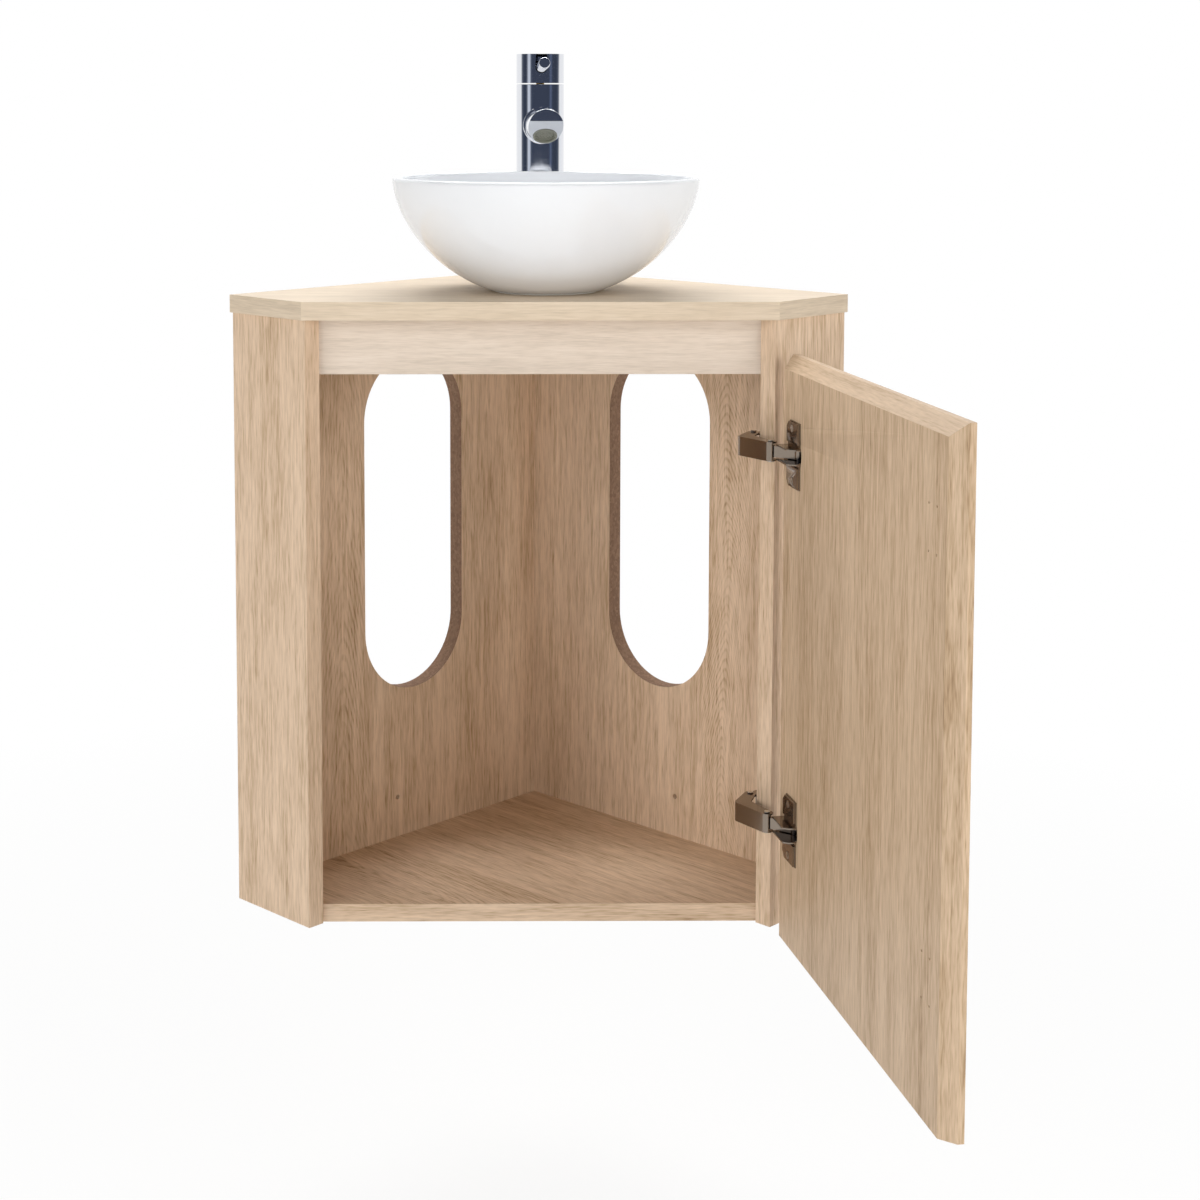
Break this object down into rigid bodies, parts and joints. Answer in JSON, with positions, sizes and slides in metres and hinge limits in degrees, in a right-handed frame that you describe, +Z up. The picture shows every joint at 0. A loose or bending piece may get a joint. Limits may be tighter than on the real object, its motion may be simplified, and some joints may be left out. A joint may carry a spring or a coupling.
{
  "type": "corner vanity unit",
  "caption": "Wall-hung corner washbasin cabinet with one bevelled door on concealed hinges, a round basin on the worktop and a tall single-lever tap.",
  "frame": {"origin": "the room's corner at the height of the cabinet's underside", "axes": "+Y into the room's corner, +X to the right seen from the front, +Z up"},
  "size_m": [0.5676, 0.7347, 0.774],
  "materials": {
    "oak": "matt oak-print laminate",
    "beech_dowel": "plain beech",
    "zinc": "die-cast zinc alloy",
    "nickel_steel": "bright nickel plate on pressed steel",
    "screw_steel": "zinc-plated steel",
    "glazed_white": "white glaze",
    "sealant": "white sealant",
    "black_rubber": "black rubber",
    "chrome": "polished chrome plate on brass",
    "brass": "plain brass",
    "white_plastic": "plain plastic",
    "olive_plastic": "olive-grey strainer"
  },
  "bodies": {
    "cabinet": {"left_wall_panel": "oak", "right_wall_panel": "oak", "left_return": "oak", "right_return": "oak", "bottom_panel": "oak", "top_rail": "oak", "worktop": "oak", "assembly_dowels": "beech_dowel", "cam_locks": "zinc", "cam_bolts": "zinc", "hinge_plates": "nickel_steel", "upper_hinge_arm": "nickel_steel", "lower_hinge_arm": "nickel_steel", "hinge_plate_screws": "screw_steel", "hinge_arm_screws": "screw_steel", "hinge_arm_pins": "screw_steel", "tap_stud": "screw_steel", "tap_washers": "screw_steel", "tap_nut": "screw_steel", "basin": "glazed_white", "basin_seal": "sealant", "waste_washer": "black_rubber", "tap_seal": "black_rubber", "waste_body": "chrome", "waste_nut": "chrome", "tap_body": "chrome", "cartridge_nut": "chrome", "tap_cartridge": "white_plastic", "tap_aerator": "olive_plastic"},
    "door": {"door_panel": "oak", "upper_hinge_cup": "nickel_steel", "lower_hinge_cup": "nickel_steel", "hinge_cup_screws": "screw_steel", "hinge_cup_pins": "screw_steel"},
    "upper_outer_link": {"upper_outer_link": "nickel_steel", "upper_link_rivet": "screw_steel"},
    "lower_outer_link": {"lower_outer_link": "nickel_steel", "lower_link_rivet": "screw_steel"},
    "upper_inner_link": {"upper_inner_link": "nickel_steel"},
    "lower_inner_link": {"lower_inner_link": "nickel_steel"},
    "waste_plug": {"waste_plug": "chrome"},
    "tap_cap": {"tap_cap": "chrome", "tap_spindle": "brass", "lever_pivot_pin": "screw_steel"},
    "tap_lever": {"tap_lever": "chrome"}
  },
  "joints": [
    {"name": "door_hinge", "type": "hinge", "parent": "cabinet", "child": "door", "pos_m": [0.2102, -0.33642, 0.26805], "axis": [0, 0, 1], "range_deg": [-100, 5]},
    {"name": "upper_outer_link_pivot", "type": "hinge", "parent": "cabinet", "child": "upper_outer_link", "pos_m": [0.18801, -0.32138, 0.4306], "axis": [0, 0, 1], "range_deg": [-100, 5]},
    {"name": "upper_inner_link_pivot", "type": "hinge", "parent": "door", "child": "upper_inner_link", "pos_m": [0.21874, -0.38772, 0.4306], "axis": [0, 0, 1], "range_deg": [-5, 100]},
    {"name": "lower_outer_link_pivot", "type": "hinge", "parent": "cabinet", "child": "lower_outer_link", "pos_m": [0.18801, -0.32138, 0.1055], "axis": [0, 0, 1], "range_deg": [-100, 5]},
    {"name": "lower_inner_link_pivot", "type": "hinge", "parent": "door", "child": "lower_inner_link", "pos_m": [0.21874, -0.38772, 0.1055], "axis": [0, 0, 1], "range_deg": [-5, 100]},
    {"name": "plug_lift", "type": "slide", "parent": "cabinet", "child": "waste_plug", "axis": [0, 0, 1], "range_m": [0, 0.008]},
    {"name": "tap_swivel", "type": "hinge", "parent": "cabinet", "child": "tap_cap", "pos_m": [0.0048, -0.05992, 0.76], "axis": [0, 0, 1], "range_deg": [-50, 50]},
    {"name": "lever_lift", "type": "hinge", "parent": "tap_cap", "child": "tap_lever", "pos_m": [0.0048, -0.05992, 0.75975], "axis": [-0.9992, -0.0401, 0], "range_deg": [0, 20]}
  ],
  "couplings": [
    {"joint": "upper_outer_link_pivot", "follows": "door_hinge", "ratio": 1},
    {"joint": "upper_inner_link_pivot", "follows": "door_hinge", "ratio": -1},
    {"joint": "lower_outer_link_pivot", "follows": "door_hinge", "ratio": 1},
    {"joint": "lower_inner_link_pivot", "follows": "door_hinge", "ratio": -1}
  ]
}
